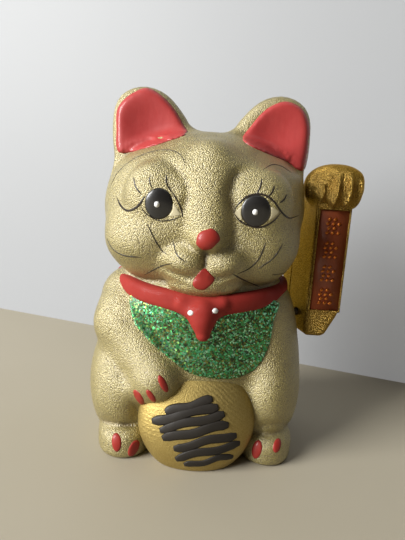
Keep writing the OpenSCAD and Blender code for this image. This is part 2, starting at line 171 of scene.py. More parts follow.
def from_path(x, z, points):
    """Distance in a plane to an open path, and how far along it the nearest point is, 0 to 1."""
    pts = np.asarray(points, np.float32)
    best = np.full(np.shape(x), 1e9, np.float32)
    along = np.zeros(np.shape(x), np.float32)
    for k, (a, b) in enumerate(zip(pts[:-1], pts[1:])):
        e = b - a
        t = np.clip(((x - a[0]) * e[0] + (z - a[1]) * e[1]) / (e @ e + 1e-9), 0, 1)
        d = (x - a[0] - t * e[0]) ** 2 + (z - a[1] - t * e[1]) ** 2
        along = np.where(d < best, (k + t) / (len(pts) - 1), along)
        best = np.minimum(best, d)
    return np.sqrt(best), along


EAR = spline([(24, 150), (9, 170), (13, 180), (17.5, 186.3), (23, 192.2), (29, 196.2), (37, 198.2),
              (44.8, 196.9), (51, 192.8), (54.3, 186.5), (55.2, 178), (54.6, 167), (52.5, 157), (48, 148),
              (38, 142)], closed=True, gap=3)
EAR_BACK_LEAN = 0.08
EAR_HALF_THICK = 7.5


def ear(p, side):
    """A flat ear with a soft rim round a shallow dish. side is -1 for the cat's right."""
    x = p[0] * side
    flat = outline_distance(x, p[2], EAR)
    slab = np.abs(p[1] - 1 - (p[2] - 180) * EAR_BACK_LEAN) - EAR_HALF_THICK
    whole = both(flat, slab, 6)
    dish = ball((x, p[1], p[2]), (35.5, -14.5, 179.5), (18.5, 9.5, 16))
    return cut(whole, dish, 2.5)


# Creases of the face and the body: a path on the mark plane, a width and a depth.
CREASES = [
    ([(-25, 157.5), (-19.2, 154.6), (-14.4, 151.2), (-11.6, 146.4), (-10.8, 141.5), (-11.8, 135.5),
      (-15, 130)], 2.6, 1.1),
    ([(20, 157), (15, 154), (11, 150.4), (9, 145.4), (9.2, 140), (11.6, 135), (15, 130)], 2.8, 1.5),
    ([(12, 156), (11.4, 148), (11.6, 138), (12.4, 128), (12.6, 119), (11.6, 112)], 3.4, 1.3),
    ([(-11.4, 142), (-11.6, 134), (-11.4, 127), (-11, 120)], 3.0, 0.6),
    ([(-0.4, 116), (-0.4, 110), (-0.6, 104)], 1.8, 1.4),
    ([(-2, 101), (-6.5, 100.3), (-11.5, 101), (-17.5, 103.2), (-23, 108)], 1.9, 1.1),
    ([(1.5, 101), (5.8, 100.6), (10.5, 101.8), (15.5, 105), (20, 111)], 1.9, 1.1),
    ([(-7, 95), (-12, 96.6), (-18, 98), (-25, 99)], 2.2, 0.8),
    ([(6, 95.4), (12, 97.6), (18, 99.6), (25, 101)], 2.2, 0.8),
    ([(-52, 145), (-45, 155), (-34, 161.6), (-22, 164.5), (-10, 164)], 3.8, 1.2),
    ([(12, 161), (24, 161.5), (35, 160), (45, 154)], 3.8, 1.2),
    ([(-53, 61.5), (-47.6, 55.8), (-41.8, 48.6), (-37, 41.5), (-34, 34.5), (-32.1, 27),
      (-31.4, 19)], 3.2, 0.9),
    ([(-54, 19.5), (-47, 19.4), (-39.5, 18.9), (-31, 17.6)], 2.2, 0.8),
    ([(-52, 82), (-44.5, 80.5), (-38.5, 77), (-33, 71.5)], 3.4, 0.9),
    ([(31, 21.6), (38.8, 23.4), (45.6, 24.4), (54, 24)], 2.2, 0.9),
]
CREASES = [(spline(path, gap=2.5), width, depth) for path, width, depth in CREASES]


def creases(p):
    """How far the creases take the front of the surface in, fading towards each crease's ends."""
    facing = (p[1] < -8) & (p[2] < 170)
    x, z = seen_flat([v[facing] for v in p])
    inward = np.zeros(np.shape(x), np.float32)
    for line, width, depth in CREASES:
        off, along = from_path(x, z, line)
        fade = np.clip(4 * along, 0, 1) * np.clip(4 - 4 * along, 0, 1)
        inward = inward + depth * fade * np.exp(-(off / width) ** 2)
    total = np.zeros(np.shape(p[0]), np.float32)
    total[facing] = inward
    return total


def head(p):
    """Skull, brow, cheeks, eye mounds, whisker pads, ears, nose bridge, nose, chin and jaw."""
    d = ball(p, (-1.4, -1, 132), (56.4, 46, 39))
    d = join(d, ball(p, (0, 1, 148.5), (50.5, 41, 25.5)), 14)
    for side in (-1, 1):
        d = join(d, ball(p, (side * 29 - 1.8, -21.5, 118), (22.6, 22.5, 20)), 8)
        d = join(d, ball(p, (side * 25.8, -34, 139.5), (16.6, 11.3, 17.5)), 3)
        d = join(d, ball(p, (side * 9.8, -40, 109), (11, 9.3, 8.4)), 4)
        d = join(d, ear(p, side), 6)
    d = join(d, limb(p, (0.6, -30.4, 157), (0.6, -39.8, 124), 11.6, 10.6), 5)
    d = join(d, ball(p, (0.4, -47.6, 120.3), (7, 5, 5)), 3)
    d = join(d, ball(p, (0, -36.5, 98), (18, 9.5, 8)), 6)
    return join(d, ball(p, (0, -7, 106), (46.5, 35.5, 15.5)), 8)


def foot(p, side):
    """A flat-topped paw with rounded edges."""
    middle = 40.6 if side > 0 else -38.2
    return both(column(p, (middle, -21), (15.6, 22.8), 2.15), np.abs(p[2] - 6.2) - 9.8, 8)


def body(p):
    """Belly, shoulders, hips, haunches, feet, resting foreleg, left shoulder and tail."""
    d = ball(p, (0, 2, 52), (51, 44, 62))
    d = join(d, ball(p, (0, 0, 84), (48, 42, 24)), 10)
    d = join(d, ball(p, (0, 5, 22), (55, 44, 36)), 10)
    for side in (-1, 1):
        d = join(d, ball(p, (side * 40.2 - 0.4, -6, 34), (21.6, 35, 38)), 6)
        d = join(d, foot(p, side), 2)
    arm = limb(p, (-39.2, -6, 80.5), (-40.4, -17, 69), 18.6, 17.6)
    arm = join(arm, limb(p, (-40.4, -17, 69), (-21.5, -37, 45.5), 17.6, 13), 6)
    arm = join(arm, limb(p, (-21.5, -37, 45.5), (-29.5, -34.5, 40), 13, 11), 3)
    d = join(d, arm, 5)
    d = join(d, ball(p, (36.8, -8, 64), (19.6, 25, 32)), 10)
    return join(d, limb(p, (4, 42, 11), (28, 38, 16), 7, 8), 4)


def figure(p):
    """The outside of the casting, without its collar, bell and coin."""
    d = join(head(p), body(p), 3) + creases(p)
    return both(d, FLOOR - p[2], 1.5)


plate_low, plate_high = node_box("base_plate")
PLATE_HALF = (plate_high - plate_low)[:2] / 2
PLATE_MIDDLE = (0, (plate_low + plate_high)[1] / 2)
PLATE_POWER = 2.6
PLATE_TOP = 3.0
PLATE_GAP = 0.4
LEDGE = 3                 # what the base plate rests on, all round
HOLLOW_TOP = 158          # the ears and the top of the head are solid
PIN_HOLE = 9              # radius
PIN_HOLE_FROM = 40        # it runs from here out through the cat's left side
PIVOT = np.array(next(j for j in frame["joints"] if j["name"] == "arm_swing")["pos_m"]) / MM


def casting(p):
    """The hollow casting, with the step for the base plate and the hole for the arm's pin."""
    outside = figure(p)
    hollow = np.maximum(outside + WALL, np.maximum(PLATE_TOP + WALL - p[2], p[2] - HOLLOW_TOP))
    step = np.maximum(column(p, PLATE_MIDDLE, PLATE_HALF + PLATE_GAP, PLATE_POWER), p[2] - PLATE_TOP)
    way_in = np.maximum(column(p, PLATE_MIDDLE, PLATE_HALF - LEDGE, PLATE_POWER),
                        p[2] - PLATE_TOP - WALL - 1)
    pin_hole = np.maximum(np.hypot(p[1] - PIVOT[1], p[2] - PIVOT[2]) - PIN_HOLE, PIN_HOLE_FROM - p[0])
    return np.maximum(outside, -np.minimum(np.minimum(hollow, step), np.minimum(way_in, pin_hole)))


# --------------------------------------------------------------- skinning and laying on

NEAR = 1.7                # how many blocks from the surface the field is still worked out exactly
AT_ONCE = 400000          # points per call of a field, to keep memory small
SIGHT_START = 180.0       # a line of sight is followed from this distance
SIGHT_STEPS = 60
CLEAR = 0.03              # a coat's rim stands this far above the surface
ROOT = 0.4                # and its underside lies this far inside it


def slope(field, p):
    """The field's gradient, by central differences."""
    e = 0.25
    g = []
    for axis in range(3):
        more = [q + e if i == axis else q for i, q in enumerate(p)]
        less = [q - e if i == axis else q for i, q in enumerate(p)]
        g.append((field(more) - field(less)) / (2 * e))
    return g


def sampled(field, low, step, count, block=4):
    """The field on a grid. Far from the surface only its sign is worked out."""
    middles = [low[i] + step * (block * np.arange(-(-count[i] // block)) + (block - 1) / 2) for i in range(3)]
    value = field(np.meshgrid(*middles, indexing="ij"))
    for axis in range(3):
        value = np.repeat(value, block, axis)
    value = value[:count[0], :count[1], :count[2]].astype(np.float32)
    near = np.argwhere(np.abs(value) < NEAR * block * step)
    for some in np.array_split(near, 1 + len(near) // AT_ONCE):
        p = [(low[i] + step * some[:, i]).astype(np.float32) for i in range(3)]
        value[tuple(some.T)] = field(p)
    return value


def skin(field, low, high, step, passes=2):
    """Vertices and quads of the surface where field is zero, inside a box."""
    low = np.asarray(low, float)
    count = [int(math.ceil((high[i] - low[i]) / step)) + 1 for i in range(3)]
    value = sampled(field, low, step, count)
    inside = value < 0
    corners = [(i, j, k) for i in (0, 1) for j in (0, 1) for k in (0, 1)]
    total = sum(inside[i:count[0] - 1 + i, j:count[1] - 1 + j, k:count[2] - 1 + k].astype(np.uint8)
                for i, j, k in corners)
    cells = np.argwhere((total > 0) & (total < 8))
    number = np.full([c - 1 for c in count], -1, np.int64)
    number[tuple(cells.T)] = np.arange(len(cells))
    summed = np.zeros((len(cells), 3))
    crossed = np.zeros(len(cells))
    for a in corners:
        for axis in range(3):
            if a[axis]:
                continue
            b = tuple(1 if i == axis else v for i, v in enumerate(a))
            va = value[tuple((cells + a).T)]
            vb = value[tuple((cells + b).T)]
            hit = (va < 0) != (vb < 0)
            t = np.where(hit, va / np.where(hit, va - vb, 1), 0)
            where = np.broadcast_to(np.array(a, float), (len(cells), 3)).copy()
            where[:, axis] = t
            summed += where * hit[:, None]
            crossed += hit
    verts = low + step * (cells + summed / crossed[:, None])
    faces = []
    for axis in range(3):
        u, v = (axis + 1) % 3, (axis + 2) % 3
        first = [slice(1, count[i] - 1) for i in range(3)]
        first[axis] = slice(0, count[axis] - 1)
        second = list(first)
        second[axis] = slice(1, count[axis])
        a, b = inside[tuple(first)], inside[tuple(second)]
        at = np.argwhere(a != b)
        leaving = a[tuple(at.T)]
        at = at + [0 if i == axis else 1 for i in range(3)]
        ring = []
        for du, dv in ((0, 0), (1, 0), (1, 1), (0, 1)):
            cell = at.copy()
            cell[:, u] -= du
            cell[:, v] -= dv
            ring.append(number[tuple(cell.T)])
        quad = np.stack(ring, 1)
        quad[~leaving] = quad[~leaving][:, ::-1]
        faces.append(quad)
    faces = np.concatenate(faces)
    for _ in range(passes):
        p = [verts[:, i] for i in range(3)]
        d = field(p)
        g = slope(field, p)
        size = g[0] ** 2 + g[1] ** 2 + g[2] ** 2 + 1e-9
        move = np.clip(d / size, -step, step)
        verts = verts - np.stack([move * q for q in g], 1)
    return verts, faces


def put(name, data):
    """A new object in the scene."""
    obj = bpy.data.objects.new(name, data)
    bpy.context.collection.objects.link(obj)
    return obj


def mesh_object(name, verts, faces, material):
    """A smooth object from points in mm. faces is an array of quads or a list of polygons."""
    mesh = bpy.data.meshes.new(name)
    mesh.from_pydata([tuple(v) for v in np.asarray(verts) * MM], [], [tuple(f) for f in faces])
    mesh.materials.append(material)
    mesh.polygons.foreach_set("use_smooth", [True] * len(mesh.polygons))
    mesh.update()
    return put(name, mesh)


def lay(field, marks, deepest=60.0):
    """Where points on the mark plane land on a field's surface, seen from the front, and its normals.
    Lines of sight that miss the surface end at y = deepest."""
    marks = np.asarray(marks, float)
    eye = from_view(EYE_POINT)
    aim = from_view(np.stack([marks[:, 0], np.full(len(marks), MARK_PLANE), marks[:, 1]], 1)) - eye
    aim /= np.linalg.norm(aim, axis=1)[:, None]
    far = np.full(len(marks), SIGHT_START)
    for _ in range(SIGHT_STEPS):
        p = eye + aim * far[:, None]
        far += np.clip(field([p[:, 0], p[:, 1], p[:, 2]]), -4, 12) * 0.8
    far = np.minimum(far, (deepest - eye[1]) / aim[:, 1])
    p = eye + aim * far[:, None]
    g = np.stack(slope(field, [p[:, 0], p[:, 1], p[:, 2]]), 1)
    return p, g / np.linalg.norm(g, axis=1)[:, None]


def patch(field, outline, lift, gap=1.0, crown=0.0, edge=0.5, deepest=60.0, to_eye=False):
    """A thin closed coat over an outline: vertices and faces. crown makes its middle stand higher,
    and to_eye lifts it along the lines of sight instead of the surface's normals."""
    rim = spline(outline, closed=True, gap=gap)
    x0, z0 = rim.min(0)
    x1, z1 = rim.max(0)
    grid = np.stack(np.meshgrid(np.arange(x0, x1, gap), np.arange(z0, z1, gap)), -1).reshape(-1, 2)
    grid[:, 0] += (np.round((grid[:, 1] - z0) / gap) % 2) * gap / 2
    depth = -outline_distance(grid[:, 0], grid[:, 1], rim)
    grid = grid[depth > gap * 0.5]
    flat = np.concatenate([rim, grid])
    n = len(rim)
    loop = [(i, (i + 1) % n) for i in range(n)]
    out = delaunay_2d_cdt([Vector(q) for q in flat], loop, [list(range(n))], 1, 1e-6)
    flat = np.array([tuple(v) for v in out[0]])
    tris = [tuple(f) for f in out[2]]
    depth = np.maximum(0, -outline_distance(flat[:, 0], flat[:, 1], rim))
    depth[depth < gap * 0.05] = 0
    p, normal = lay(field, flat, deepest)
    if to_eye:
        normal = from_view(EYE_POINT) - p
        normal /= np.linalg.norm(normal, axis=1)[:, None]
    rise = lift * (1 - np.exp(-depth / edge)) + crown * (1 - (1 - np.clip(depth / depth.max(), 0, 1)) ** 2)
    top = p + normal * (CLEAR + rise)[:, None]
    under = p - normal * ROOT
    k = len(flat)
    faces = [(a, b, c) for a, b, c in tris] + [(k + c, k + b, k + a) for a, b, c in tris]
    edges = dict.fromkeys(e for a, b, c in tris for e in ((a, b), (b, c), (c, a)))
    faces += [(b, a, k + a, k + b) for a, b in edges if (b, a) not in edges]
    verts = np.concatenate([top, under])
    a, b, c = (verts[list(t)] for t in zip(*tris))
    if (np.cross(b - a, c - a) * normal[[t[0] for t in tris]]).sum() < 0:
        faces = [f[::-1] for f in faces]
    return verts, faces


def stroke(field, path, width, lift=0.12, taper=(0.15, 0.15), gap=0.8):
    """A painted line along a path on the mark plane, narrowing towards its two ends. taper holds how
    much of the width is left at each end. Points that miss the front of the surface are left out."""
    p, normal = lay(field, spline(path, gap=gap))
    landed = (np.abs(field([p[:, 0], p[:, 1], p[:, 2]])) < 0.3) & (p[:, 1] < 12)
    p, normal = p[landed], normal[landed]
    along = np.gradient(p, axis=0)
    along /= np.linalg.norm(along, axis=1)[:, None]
    side = np.cross(along, normal)
    n = len(p)
    t = np.linspace(0, 1, n)
    widening = 5
    wide = width / 2 * np.minimum(1, np.minimum(taper[0] + t * widening, taper[1] + (1 - t) * widening))
    sides = 8
    buried = 0.3
    verts = []
    for i in range(n):
        for k in range(sides):
            a = 2 * math.pi * k / sides
            up = math.sin(a)
            verts.append(p[i] + side[i] * wide[i] * math.cos(a)
                         + normal[i] * (0.04 + (lift if up > 0 else buried) * up))
    faces = []
    for i in range(n - 1):
        for k in range(sides):
            j = (k + 1) % sides
            faces.append((i * sides + k, i * sides + j, (i + 1) * sides + j, (i + 1) * sides + k))
    faces.append(tuple(range(sides))[::-1])
    faces.append(tuple((n - 1) * sides + k for k in range(sides)))
    return np.array(verts), faces


def merged(parts):
    """Several closed shells as one list of vertices and faces."""
    verts, faces, start = [], [], 0
    for v, f in parts:
        verts.append(v)
        faces += [tuple(start + i for i in q) for q in f]
        start += len(v)
    return np.concatenate(verts), faces


def ellipse(x, z, half_x, half_z, tilt=0.0, n=12):
    """Points round an ellipse on the mark plane."""
    c, s = math.cos(math.radians(tilt)), math.sin(math.radians(tilt))
    ring = []
    for k in range(n):
        a = 2 * math.pi * k / n
        u, v = half_x * math.cos(a), half_z * math.sin(a)
        ring.append((x + c * u - s * v, z + s * u + c * v))
    return ring


# ----------------------------------------------------------------------- materials

def fill(node, inputs):
    """Links or sets a node's inputs, each given a socket or a constant."""
    for key, value in inputs.items():
        if isinstance(value, bpy.types.NodeSocket):
            node.id_data.links.new(value, node.inputs[key])
        else:
            node.inputs[key].default_value = value


def tree(name):
    """A new material, its principled shader and a builder of nodes."""
    material = bpy.data.materials.new(name)
    material.use_nodes = True

    def add(kind, inputs=None, **settings):
        node = material.node_tree.nodes.new(kind)
        for key, value in settings.items():
            setattr(node, key, value)
        fill(node, inputs or {})
        return node
    return material, material.node_tree.nodes["Principled BSDF"], add


def place(add):
    """Object coordinates, which are metres in the part's frame."""
    return add("ShaderNodeTexCoord").outputs["Object"]


def ramp(add, value, stops, interpolation="LINEAR"):
    """A colour ramp through stops of (place, colour)."""
    node = add("ShaderNodeValToRGB", {"Fac": value})
    node.color_ramp.interpolation = interpolation
    elements = node.color_ramp.elements
    for _ in range(len(stops) - 2):
        elements.new(0.5)
    for element, (at, colour) in zip(elements, stops):
        element.position = at
        element.color = (*colour, 1)
    return node.outputs["Color"]


def bump(add, height, distance, strength=1.0, normal=None):
    inputs = {"Height": height, "Distance": distance, "Strength": strength}
    if normal is not None:
        inputs["Normal"] = normal
    return add("ShaderNodeBump", inputs).outputs["Normal"]


def noise(add, at, scale, detail=2.0, roughness=0.5, stretch=None):
    if stretch is not None:
        at = add("ShaderNodeMapping", {"Vector": at, "Scale": stretch}).outputs["Vector"]
    inputs = {"Vector": at, "Scale": scale, "Detail": detail, "Roughness": roughness}
    return add("ShaderNodeTexNoise", inputs).outputs["Fac"]


def cells(add, at, scale, output="Distance"):
    return add("ShaderNodeTexVoronoi", {"Vector": at, "Scale": scale}, feature="F1").outputs[output]


def scaled(add, value, low, high):
    """Maps 0..1 to low..high."""
    return add("ShaderNodeMapRange", {"Value": value, "To Min": low, "To Max": high}).outputs["Result"]


def flipped(add, value):
    return add("ShaderNodeMath", {0: value, 1: -1.0}, operation="MULTIPLY").outputs[0]


def vector(add, operation, inputs):
    return add("ShaderNodeVectorMath", inputs, operation=operation).outputs[0]


MIX_FACTOR, MIX_FIRST, MIX_SECOND, MIX_RESULT = 0, 6, 7, 2    # the colour sockets of a Mix node


def mixed(add, how_much, a, b, blend_type="MIX"):
    """Colour a blended with colour b. Each of the three may be a socket or a constant."""
    a, b = ((*v, 1) if isinstance(v, tuple) else v for v in (a, b))
    inputs = {MIX_FACTOR: how_much, MIX_FIRST: a, MIX_SECOND: b}
    return add("ShaderNodeMix", inputs, data_type="RGBA", blend_type=blend_type).outputs[MIX_RESULT]


def pebbled_gold():
    """Metallic paint on a finely pebbled ground, browner and darker in its creases as painted shade, with
    painted highlight on the pebbles' tops and painted shade between them.
    """
    material, shader, add = tree("pebbled_gold")
    at = place(add)
    pebble = cells(add, at, 1550)
    fine = noise(add, at, 2500, 3, 0.65)
    broad = noise(add, at, 24, 3, 0.55)
    hollow = add("ShaderNodeAttribute", attribute_name="hollow").outputs["Fac"]
    tone = mixed(add, broad, (0.37, 0.285, 0.055), (0.48, 0.395, 0.095))
    # Painted shade: creases, read from the stored hollowness, are darkened towards a deep brown.
    painted_crease_shade = ramp(add, hollow, [(0.42, (0, 0, 0)), (0.85, (1, 1, 1))])
    tone = mixed(add, painted_crease_shade, tone, (0.23, 0.16, 0.030))
    # Painted highlight and shade on the pebbling: lightest at each pebble's middle, where the bump stands
    # highest, and darkest at its edge.
    grain = ramp(add, pebble, [(0.0, (1.0, 1.0, 1.0)), (0.45, (0.88, 0.87, 0.77)), (0.9, (0.32, 0.29, 0.16))])
    colour = mixed(add, 0.8, tone, grain, "MULTIPLY")
    speck = ramp(add, fine, [(0.36, (0.40, 0.36, 0.18)), (0.54, (1.0, 1.0, 1.0))])
    height = flipped(add, pebble)
    fill(shader, {
        "Base Color": mixed(add, 0.7, colour, speck, "MULTIPLY"),
        "Roughness": scaled(add, fine, 0.44, 0.62),
        "Metallic": 0.82,
        "Coat Weight": 1.0,
        "Coat IOR": 2.2,
        "Coat Roughness": 0.45,
        "Normal": bump(add, height, 0.0005, 0.8, bump(add, fine, 0.00025, 0.9)),
        "Coat Normal": bump(add, height, 0.00042, 0.75, bump(add, fine, 0.00022, 0.8)),
    })
    return material


def bright_gold():
    """The same paint over a smoother ground, as on the coin."""
    material, shader, add = tree("bright_gold")
    at = place(add)
    broad = noise(add, at, 30, 3, 0.6)
    fine = noise(add, at, 1300, 3, 0.6)
    tone = mixed(add, broad, (0.35, 0.255, 0.075), (0.46, 0.35, 0.125))
    speck = ramp(add, fine, [(0.3, (0.6, 0.52, 0.36)), (0.6, (1, 1, 1))])
    fill(shader, {
        "Base Color": mixed(add, 0.5, tone, speck, "MULTIPLY"),
        "Roughness": scaled(add, fine, 0.42, 0.60),
        "Metallic": 0.78,
        "Normal": bump(add, fine, 0.00035, 0.8),
    })
    return material


def enamel(name, dark, light, roughness, streak=(1, 1, 1), coat=0.6, wave=0.00015, gloss=0.12):
    """Brushed-on enamel: slightly uneven colour and a faint ripple."""
    material, shader, add = tree(name)
    at = place(add)
    ripple = noise(add, at, 160, 3, 0.55, stretch=streak)
    fill(shader, {
        "Base Color": mixed(add, noise(add, at, 90, 4, 0.6, stretch=streak), dark, light),
        "Roughness": scaled(add, noise(add, at, 240, 3), roughness * 0.75, roughness * 1.35),
        "Specular IOR Level": 0.35,
        "Coat Weight": coat,
        "Coat Roughness": gloss,
        "Normal": bump(add, ripple, wave, 0.6),
    })
    return material


def glitter():
    """Small foil flakes, green with some of gold, at slightly different angles in clear glue."""
    material, shader, add = tree("green_glitter")
    flake = cells(add, place(add), 1250, "Color")
    value = add("ShaderNodeSeparateColor", {"Color": flake}).outputs
    foils = [(0.0, (0.012, 0.03, 0.005)), (0.2, (0.06, 0.12, 0.02)), (0.4, (0.04, 0.30, 0.08)),
             (0.62, (0.24, 0.26, 0.05)), (0.74, (0.14, 0.66, 0.32)), (0.9, (0.50, 1.0, 0.68))]
    lean = vector(add, "SUBTRACT", {0: flake, 1: (0.5, 0.5, 0.5)})
    lean = vector(add, "SCALE", {0: lean, "Scale": 0.9})
    normal = add("ShaderNodeNewGeometry").outputs["Normal"]
    normal = vector(add, "ADD", {0: normal, 1: lean})
    fill(shader, {
        "Base Color": ramp(add, value[0], foils, "CONSTANT"),
        "Metallic": 0.8,
        "Roughness": scaled(add, value[1], 0.25, 0.5),
        "Normal": vector(add, "NORMALIZE", {0: normal}),
        "Coat Weight": 0.7,
        "Coat Roughness": 0.42,
    })
    return material


def plated_gold(name="plated_gold", dark=(0.15, 0.08, 0.01), light=(0.80, 0.54, 0.15), grain=0.0005):
    """Vacuum-plated plastic with a fine hammered grain, darker between its pebbles as painted shade."""
    material, shader, add = tree(name)
    at = place(add)
    pebble = cells(add, at, 1900)
    tone = mixed(add, noise(add, at, 40, 3), tuple(0.75 * v for v in light), light)
    # Painted shade between the pebbles: the colour goes towards dark away from each pebble's middle, where
    # the bump lies lowest.
    between = ramp(add, pebble, [(0.1, (0, 0, 0)), (0.75, (1, 1, 1))])
    fill(shader, {
        "Base Color": mixed(add, between, tone, dark),
        "Metallic": 0.95,
        "Specular Tint": (1.0, 0.72, 0.32, 1),
        "Roughness": scaled(add, noise(add, at, 1500, 2), 0.24, 0.4),
        "Normal": bump(add, flipped(add, pebble), grain, 1.0),
    })
    return material


def moulded(name, colour, roughness, metallic=0.0):
    """Moulded plastic, laminate or plain metal with a fine texture and slight unevenness."""
    spread = 0.12
    material, shader, add = tree(name)
    at = place(add)
    dark = tuple(v * (1 - spread) for v in colour)
    light = tuple(min(1, v * (1 + spread)) for v in colour)
    fine = noise(add, at, 1500, 3, 0.6)
    fill(shader, {
        "Base Color": mixed(add, noise(add, at, 120, 4, 0.6), dark, light),
        "Roughness": scaled(add, fine, roughness * 0.8, roughness * 1.2),
        "Metallic": metallic,
        "Normal": bump(add, fine, 0.00008, 0.5),
    })
    return material


def wound_copper():
    """Enamelled wire: rings about the coil's axis, one per turn, darker in the grooves between turns as
    painted shade.
    """
    material, shader, add = tree("wound_copper")
    inputs = {"Vector": place(add), "Scale": 1600, "Distortion": 0.4, "Detail": 1.0}
    wave = add("ShaderNodeTexWave", inputs, wave_type="BANDS", bands_direction="Z").outputs["Fac"]
    fill(shader, {
        # Painted shade in the grooves between turns: the colour is darkest where the bump lies lowest.
        "Base Color": mixed(add, wave, (0.30, 0.10, 0.03), (0.72, 0.32, 0.12)),
        "Metallic": 0.8,
        "Roughness": 0.3,
        "Normal": bump(add, wave, 0.0001, 0.8),
    })
    return material


def paper_backdrop(name, colour, deeper, glow=0.0):
    """Matt paper in two close tones. glow lifts it with light of its own, painted light in place of light
    from the room.
    """
    material, shader, add = tree(name)
    fill(shader, {
        "Base Color": mixed(add, noise(add, place(add), 5, 3), colour, deeper),
        "Roughness": 0.6,
        "Emission Color": (1.0, 1.0, 1.0, 1),
        "Emission Strength": glow,
    })
    return material


GOLD = pebbled_gold()
COIN_GOLD = bright_gold()
RED = enamel("red_enamel", (0.24, 0.012, 0.008), (0.32, 0.024, 0.015), 0.55, coat=0.2)
COLLAR_RED = enamel("collar_enamel", (0.23, 0.012, 0.008), (0.30, 0.023, 0.014), 0.75, coat=0.03)
EAR_RED = enamel("ear_red", (0.30, 0.022, 0.022), (0.44, 0.055, 0.050), 0.5, (1, 1, 0.35), coat=0.25,
                 wave=0.0003)
BLACK = enamel("black_enamel", (0.006, 0.006, 0.006), (0.016, 0.014, 0.013), 0.34, coat=1.0,
               wave=0.0002, gloss=0.30)
INK = enamel("matt_black", (0.010, 0.008, 0.006), (0.022, 0.017, 0.012), 0.6, coat=0.06)
LINE = enamel("line_paint", (0.012, 0.008, 0.006), (0.03, 0.022, 0.016), 0.4, coat=0.2)
WHITE = enamel("white_paint", (0.75, 0.75, 0.73), (0.85, 0.85, 0.84), 0.35)
CREAM = enamel("cream_paint", (0.46, 0.40, 0.24), (0.56, 0.50, 0.33), 0.5, coat=0.1)
GLITTER = glitter()
PLATED = plated_gold()
PANEL_RED = enamel("panel_red", (0.17, 0.034, 0.012), (0.27, 0.065, 0.022), 0.45, coat=0.15)
MOTIF_GOLD = plated_gold("motif_gold", (0.45, 0.09, 0.02), (0.90, 0.36, 0.07), 0.0001)


# -------------------------------------------------------------------- sculpted pieces

def piece(name, geometry, material, body, slot, *nodes):
    """A visible piece that rides on a body, and replaces the CAD nodes it stands for."""
    obj = mesh_object(name, *geometry, material)
    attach(obj, body)
    if nodes:
        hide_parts(*nodes)
    return obj


def coats(field, rings, lift, gap, **more):
    """Thin coats of one kind over several outlines."""
    return merged([patch(field, ring, lift, gap, **more) for ring in rings])


FINE = 1.0


def mark_hollows(obj, field, reach=2.5):
    """Stores how hollow the surface is at each vertex: 0.5 is flat, more is a crease."""
    mesh = obj.data
    co = np.empty(len(mesh.vertices) * 3, np.float32)
    mesh.vertices.foreach_get("co", co)
    p = list(co.reshape(-1, 3).T / MM)
    around = 0
    for axis in range(3):
        for way in (-reach, reach):
            around = around + field([q + way if i == axis else q for i, q in enumerate(p)])
    bend = around / 6 - field(p)
    layer = mesh.attributes.new("hollow", "FLOAT", "POINT")
    layer.data.foreach_set("value", np.clip(0.35 - bend * 0.8, 0, 1).astype(np.float32))


body_shell = piece("cat_body", skin(casting, (-65, -55, -2), (65, 54, 202), 1.0 * FINE), GOLD,
                   "cat", "gold_paint", "body_shell")
# The stored hollowness sets where the gold gets its painted crease shade.
mark_hollows(body_shell, figure)

# ears
EAR_LINING = [(-45, 159), (-46.5, 170), (-46.5, 178), (-43.5, 183), (-39, 186.5), (-33, 189), (-26.5, 186.5),
              (-20, 181), (-15, 174), (-13, 169.5), (-22, 165.5), (-33, 161.5)]
EAR_LINING_LEFT = [(13.5, 169), (17, 175), (22, 181.5), (27.5, 185.5), (33.5, 187), (40.5, 184), (44.5, 177),
                   (45.5, 167), (44.5, 157), (41, 156.5), (36, 159.5), (25.5, 163), (18.5, 165.5)]
linings = coats(figure, (EAR_LINING, EAR_LINING_LEFT), 1.7, 0.9, edge=0.6, deepest=1.0, to_eye=True)
piece("ear_lining", linings, EAR_RED, "cat", "red_paint", "ear_linings")

# eyes, lashes and brows
IRISES = [ellipse(-24.7, 136, 6.9, 7.6), ellipse(22.8, 135.6, 7.3, 7.7)]
piece("iris", coats(figure, IRISES, 0.2, 0.8, crown=0.9), BLACK, "cat", "black_paint", "eyes")

DOTS = [ellipse(-25.5, 135.6, 1.5, 1.6, n=8), ellipse(22.4, 135, 1.5, 1.6, n=8)]
BEFORE_IRIS = np.array((0, -0.9, 0))
verts, faces = coats(figure, DOTS, 0.2, 0.5, crown=0.9)
piece("eye_dot", (verts + BEFORE_IRIS, faces), WHITE, "cat", "black_paint")

CORNERS = [
    [(12.7, 133.9), (14.4, 136.4), (16.4, 138), (15.9, 135.6), (15.8, 133.4), (16.5, 130.8), (14.4, 131.9)],
    [(30, 137.8), (32.2, 137.2), (34.4, 135.8), (33, 133.8), (30.9, 131.9), (29.6, 131.4), (30.4, 134.6)],
    [(-17.6, 136.4), (-15.6, 134.4), (-13.8, 131.4), (-16.2, 130.4), (-19.4, 130.2), (-18, 133.2)],
]
piece("eye_corner", coats(figure, CORNERS, 0.08, 0.6), CREAM, "cat", "gold_paint")

